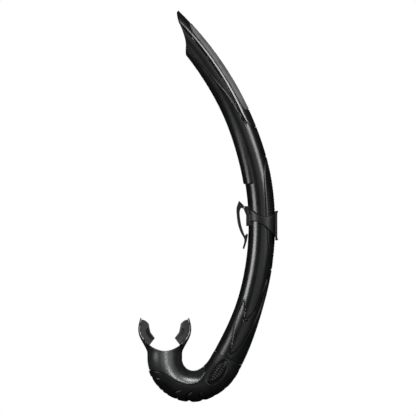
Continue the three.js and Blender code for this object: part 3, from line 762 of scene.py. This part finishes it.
def arch_curve():
    return spline(mirror(ARCH)[::-1] + list(ARCH[1:]), 6)


FLANGE_FIT = 0.998  # keeps the curve's slight overshoot inside the flange's width


def flange_arms():
    outer = [(half, height) for height, half in FUNNEL[:-1]][::-1]
    outer = spline(outer, 6)
    inner = spline([p for p in ARCH if p[1] > 13], 6)
    right = np.vstack([outer, inner[::-1]])
    left = right[::-1] * [-1, 1]
    return [extruded("flange_arm", over_neck(part * [FLANGE_FIT, 1]), -15.5, 15.5, 10, flange_reach)
            for part in (right, left)]


BORE_HALF = (13, 9.5)
BORE_FROM, BORE_TO = -8, 36
BORE_SIDES = 64


def mouth_bore():
    """The oval way in, as a solid to cut with."""
    n = BORE_SIDES
    turn = np.linspace(0, 2 * math.pi, n, endpoint=False)
    rings = [np.stack([MOUTH_X + BORE_HALF[0] * np.cos(turn), BORE_HALF[1] * np.sin(turn), np.full(n, z)], -1)
             for z in (MOUTH_Z + BORE_FROM, MOUTH_Z + BORE_TO)]
    faces = [list(range(n)), [n + i for i in reversed(range(n))]]
    faces += [[i, n + i, n + (i + 1) % n, (i + 1) % n] for i in range(n)]
    return object_from("mouth_bore", np.vstack(rings), faces)


neck = solid_rod("neck", -26, 1.0, 0, 1.0)
wall = patch("wall", (-4, SHOULDER + 18), ALL_ROUND, within(SIDE), lambda s, a, d: 0 * s, -WALL, 0.7, True)
arch_cut = extruded("arch_cut", over_neck(np.vstack([arch_curve(), [(24.9, 70), (-24.9, 70)]])), -40, 40)
core = solid_rod("core", -2.3, 6, -WALL, 1.0)
bore = mouth_bore()
cut_parts = [carved(part, arch_cut, core, bore) for part in (neck, wall)]
mouthpiece = fused("mouthpiece_skin", cut_parts, 0.4, 9)
arms = fused("mouthpiece_flange", flange_arms(), 0.3, 2)
for spent in (arch_cut, core, bore):
    bpy.data.objects.remove(spent)
dress(mouthpiece, "mouth_silicone", "tube", "mouthpiece")
dress(arms, "mouth_silicone", "tube", look="flange_matt")

TAB = ((24.9, 41.6), (20.6, 40.1), (17.2, 37), (16.4, 32.6), (15.3, 27.6), (10.6, 21.3), (16.2, 13.9),
       (21.5, 18.6), (25.3, 23.9), (27.1, 30), (26.6, 36.6))
LIP = ((16.4, 32.6), (15.3, 27.6), (10.6, 21.3), (11.7, 20.1), (16.7, 26.9), (17.9, 32.4))
for node, flip in (("bite_tab_inner", False), ("bite_tab_outer", True)):
    tab, lip = (mirror(TAB), mirror(LIP)) if flip else (TAB, LIP)
    tab_body = extruded("tab", over_neck(tab), -2.5, 2.5)
    tab_lip = extruded("lip", over_neck(lip), -5.5, 5.5)
    pad = fused(node + "_pad", [tab_body, tab_lip], 0.35, 4)
    dress(pad, "bite_grey", "tube", node)

# ---- Keeper ----
BAND_UPPER = ((16, -1.35), (14, -1), (12.2, -0.68), (8.2, -0.38), (5, 0), (4, 0.29), (5.4, 0.7), (9, 1),
              (10, 1.4))
BAND_LOWER = ((-21, 1.4), (-17, 1), (-12, 0.58), (-6, 0.13), (-1.3, -0.42), (-1.5, -0.72), (-4, -1),
              (-6, -1.35))
band_outline = spots(np.vstack([spline([(KEEPER + s, u) for s, u in edge], 6)
                                for edge in (BAND_UPPER, BAND_LOWER)]))
BAND_THICKNESS = 1.6


def band_top(s, a, d):
    """The band's outer face, with rounded edges."""
    return GAP + BAND_THICKNESS - rounded(d, 0.8)


band = patch("band", (KEEPER - 30, KEEPER + 26), ALL_ROUND, within(band_outline), band_top, GAP, 0.6, True)
PLATE_THICKNESS, PLATE_PROUD, PLATE_HALF = 2.3, 0.3, 11
PLATE_FOOT, PLATE_TOP = -21.5, 10.3
PLATE_LIP, LIP_REACH = 2, 3
plate_x = AXIS_X + BARREL_WIDTH / 2 + GAP + BAND_THICKNESS + PLATE_PROUD - PLATE_THICKNESS


def slab(x0, x1, y, z0, z1):
    return extruded("slab", [(x0, z0), (x1, z0), (x1, z1), (x0, z1)], -y, y)


keeper_parts = [
    slab(plate_x, plate_x + PLATE_THICKNESS, PLATE_HALF, PLATE_FOOT, PLATE_TOP),
    slab(plate_x, plate_x + LIP_REACH, PLATE_HALF, PLATE_FOOT, PLATE_FOOT + PLATE_LIP),
    slab(plate_x, plate_x + LIP_REACH, PLATE_HALF, PLATE_TOP - PLATE_LIP, PLATE_TOP),
    slab(0, AXIS_X / 2, 9, -6.2, 6),
    extruded("tongue", [(-1.8, 15.4), (4, 15.2), (4, 5), (0, 5.5), (-2.5, 11.6)], -7, 7),
]
keeper_bore = solid_rod("keeper_bore", KEEPER - 40, KEEPER + 40, GAP)
keeper = fused("keeper_band_moulding", [band, *(carved(part, keeper_bore) for part in keeper_parts)], 0.35, 3)
bpy.data.objects.remove(keeper_bore)
dress(keeper, "keeper_satin", "keeper", "keeper_band")

OUTER_FINGER = ((-2.05, 15.6), (-4.2, 17.9), (-7.6, 21.2), (-9.2, 17), (-10.4, 11.8), (-9.8, 2.5), (-8.3, -6),
                (-5.5, -13.6), (-1.9, -20.9), (-3.8, -30.4))
INNER_FINGER = ((-1.9, -30.8), (0.9, -22), (2.1, -15.2), (0.7, -14), (-1.2, -16.6), (-3.4, -11), (-5.4, -4),
                (-6.7, 4.6), (-6.7, 10.1), (-5, 13.4), (-2.7, 11.9))
finger = extruded("finger", np.vstack([OUTER_FINGER[:2], spline(OUTER_FINGER[2:], 5), INNER_FINGER[:4],
                                       spline(INNER_FINGER[4:], 5)]), -7, 7)
finger = fused("keeper_finger_moulding", [finger], 0.3, 3)
dress(finger, "keeper_satin", "strap_finger", "keeper_finger")

# ---- Inner pieces keep their CAD shape ----
for node, slot in (("elbow_core", "hard_black"), ("purge_seat", "hard_black"), ("purge_valve", "valve_clear")):
    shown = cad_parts[node]
    shown.data.materials.clear()
    shown.data.materials.append(MATERIALS[slot])

# ---- Floor, light and background ----
FLOOR_REACH = 3.0
FLOOR_DROP = 0.0155  # below the lowest point, as the part hangs just over the floor
FLOOR_GLOW = 0.6  # keeps the floor evenly pale, and lights nothing else
floor_mesh = bpy.data.meshes.new("floor")
level = low[2] - FLOOR_DROP
corners = [(x * FLOOR_REACH, y * FLOOR_REACH, level) for x, y in ((-1, -1), (1, -1), (1, 1), (-1, 1))]
floor_mesh.from_pydata(corners, [], [(0, 1, 2, 3)])
floor = bpy.data.objects.new("floor", floor_mesh)
bpy.context.scene.collection.objects.link(floor)
pale = Nodes("pale_floor")
pale.shader.inputs["Base Color"].default_value = (0.82, 0.82, 0.82, 1)
pale.shader.inputs["Roughness"].default_value = 0.9
pale.shader.inputs["Emission Color"].default_value = (1, 1, 1, 1)
pale.shader.inputs["Emission Strength"].default_value = FLOOR_GLOW
floor_mesh.materials.append(pale.material)
floor.visible_glossy = False
floor.visible_diffuse = False


def softbox(name, azimuth, distance, height, width, tall, power, pieces=(), state="INCLUDE"):
    """A tall area light. Azimuth 0 is at the camera, and it grows towards +X. It lights only the pieces,
    or all but them."""
    data = bpy.data.lights.new(name, "AREA")
    data.shape = "RECTANGLE"
    data.size, data.size_y = width, tall
    data.energy = power
    lamp = bpy.data.objects.new(name, data)
    turn = math.radians(azimuth)
    lamp.location = (centre[0] + distance * math.sin(turn), -distance * math.cos(turn), height)
    lamp.rotation_euler = (math.pi / 2, 0, turn)
    bpy.context.scene.collection.objects.link(lamp)
    if pieces:
        group = bpy.data.collections.new(name + "_pieces")
        for piece in pieces:
            group.objects.link(piece)
        for entry in group.collection_objects:
            entry.light_linking.link_state = state
        lamp.light_linking.receiver_collection = group
    return lamp


bend = [mouthpiece]
softbox("strip_left", -50, 1.3, 0.12, 0.52, 0.48, 9.5)
softbox("key_right", 42, 1.5, 0.6, 0.5, 0.95, 15, bend, "EXCLUDE")
softbox("broad_front", 24, 1.6, 0.2, 1.5, 1.0, 3)
softbox("mouth_broad", 8, 1.0, -0.14, 1.2, 0.3, 2.4, bend)
softbox("mouth_fill", 4, 1.0, -0.07, 0.14, 0.14, 2.3, bend)
softbox("mouth_top", 4, 1.06, 0.58, 0.36, 0.4, 13, bend)
rear = softbox("rear", 180, 1.5, 0.1, 1.0, 1.3, 9)
rear.visible_camera = False

FILL = 0.012  # what the world lights the part with
BACKDROP = 1.0  # what the camera sees of it
world = bpy.data.worlds.new("studio")
bpy.context.scene.world = world
world.use_nodes = True
tree = world.node_tree
background = tree.nodes["Background"]
seen = tree.nodes.new("ShaderNodeLightPath").outputs["Is Camera Ray"]
strength = tree.nodes.new("ShaderNodeMapRange")
strength.inputs["To Min"].default_value = FILL
strength.inputs["To Max"].default_value = BACKDROP
tree.links.new(seen, strength.inputs["Value"])
tree.links.new(strength.outputs["Result"], background.inputs["Strength"])
background.inputs["Color"].default_value = (1, 1, 1, 1)
bpy.context.scene.view_settings.view_transform = "Standard"
